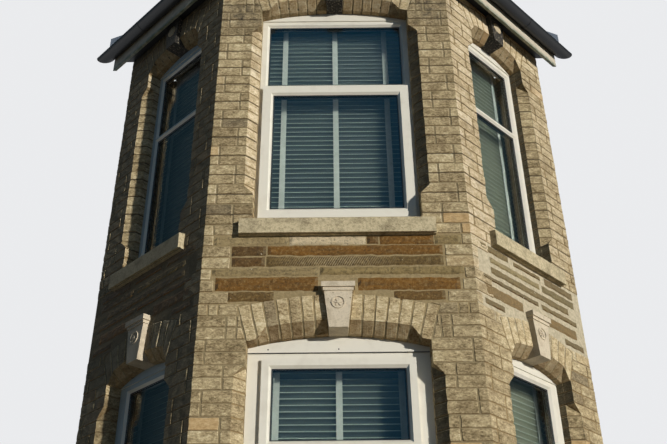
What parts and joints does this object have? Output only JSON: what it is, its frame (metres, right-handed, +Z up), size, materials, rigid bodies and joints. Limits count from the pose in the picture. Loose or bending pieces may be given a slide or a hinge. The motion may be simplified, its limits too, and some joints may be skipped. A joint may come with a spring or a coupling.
{
  "type": "bay window",
  "caption": "Two-storey canted bay of brick and stone with arched sash openings, keystones, sills, eaves and a hipped slate roof, cut at the house wall.",
  "frame": {"origin": "middle of the bounding box on plan, at ground level", "axes": "+Z up, -Y towards the street out of the front face, +X to the right as seen from the street; the back plane at +Y is the house wall"},
  "size_m": [4.1762, 1.132, 7.641],
  "materials": {
    "black_boards": "black boards",
    "black_gutter": "black moulded gutter",
    "blind_tape": "woven ladder tape",
    "brown_sandstone": "split sandstone, brown and grey",
    "buff_brick": "fired buff brick in lime mortar, weathered",
    "cream_boards": "cream fascia boards",
    "dressed_stone": "sawn sandstone",
    "fired_clay": "dark clay hip tiles",
    "floor_boards": "pine boards",
    "lead_sheet": "dull lead sheet",
    "painted_stone": "stone with cream masonry paint",
    "painted_timber": "white gloss paint on timber",
    "plaster": "smooth plaster",
    "sawn_timber": "sawn softwood",
    "slate": "split slate",
    "white_plastic": "extruded white plastic, satin gloss",
    "window_glass": "sealed double glazing"
  },
  "bodies": {
    "root": {"plinth": "dressed_stone", "ground_wall_left": "buff_brick", "ground_wall_front": "buff_brick", "ground_wall_right": "buff_brick", "stone_band_left": "brown_sandstone", "stone_band_front": "brown_sandstone", "stone_band_right": "brown_sandstone", "upper_wall_left": "buff_brick", "upper_wall_front": "buff_brick", "upper_wall_right": "buff_brick", "ground_arch_left": "buff_brick", "ground_arch_front": "buff_brick", "ground_arch_right": "buff_brick", "upper_arch_left": "buff_brick", "upper_arch_front": "buff_brick", "upper_arch_right": "buff_brick", "ground_keystones": "painted_stone", "upper_keystones": "dressed_stone", "upper_bosses": "painted_stone", "ground_sills": "dressed_stone", "upper_sills": "dressed_stone", "ground_frames": "white_plastic", "upper_frames": "white_plastic", "ground_sashes": "white_plastic", "upper_sashes": "white_plastic", "ground_head_panels": "white_plastic", "upper_head_panels": "white_plastic", "ground_glass": "window_glass", "upper_glass": "window_glass", "ground_blinds": "blind_tape", "upper_blinds": "blind_tape", "window_boards": "painted_timber", "ground_floor": "floor_boards", "first_floor": "floor_boards", "ceiling": "plaster", "wall_plate": "sawn_timber", "rafters": "sawn_timber", "soffit": "black_boards", "fascia": "cream_boards", "gutter": "black_gutter", "roof_left": "slate", "roof_front": "slate", "roof_right": "slate", "hip_tiles": "fired_clay", "flashing": "lead_sheet"}
  },
  "joints": []
}
